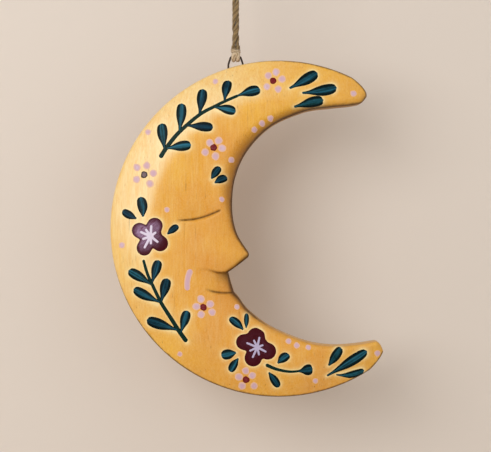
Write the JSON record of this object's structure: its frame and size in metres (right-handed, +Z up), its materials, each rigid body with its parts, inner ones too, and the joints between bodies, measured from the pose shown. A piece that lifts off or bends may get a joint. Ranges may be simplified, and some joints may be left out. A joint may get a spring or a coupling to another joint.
{
  "type": "hanging moon decoration",
  "caption": "Carved and painted wooden crescent moon with a sleeping profile face, hung by a wire eye from a knotted jute twine loop.",
  "frame": {"origin": "inside top of the hanging loop, where a hook or nail carries the decoration", "axes": "+Z up along the hanging twine, the carved front faces -Y and the flat back +Y, +X towards the crescent's open side"},
  "size_m": [0.1299, 0.018, 0.2312],
  "materials": {
    "painted_wood": "warm yellow paint over carved wood, satin varnish, with folk flowers and leaves",
    "aged_wire": "dark aged iron wire",
    "jute_twine": "hairy natural jute"
  },
  "bodies": {
    "hanger": {"hanging_loop": "jute_twine", "top_knot": "jute_twine"},
    "cord": {"twine_strand_left": "jute_twine", "twine_strand_right": "jute_twine"},
    "hitch": {"twine_hitch": "jute_twine"},
    "moon": {"moon_body": "painted_wood", "hanging_eye": "aged_wire"}
  },
  "joints": [
    {"name": "side_sway", "type": "hinge", "parent": "hanger", "child": "cord", "pos_m": [0, 0, -0.0258], "axis": [0, 1, 0], "range_deg": [-30, 30]},
    {"name": "cord_twist", "type": "hinge", "parent": "cord", "child": "hitch", "pos_m": [0, 0, -0.06225], "axis": [0, 0, 1], "range_deg": [-180, 180]},
    {"name": "front_swing", "type": "hinge", "parent": "hitch", "child": "moon", "pos_m": [0, 0, -0.0674], "axis": [1, 0, 0], "range_deg": [-70, 70]}
  ]
}
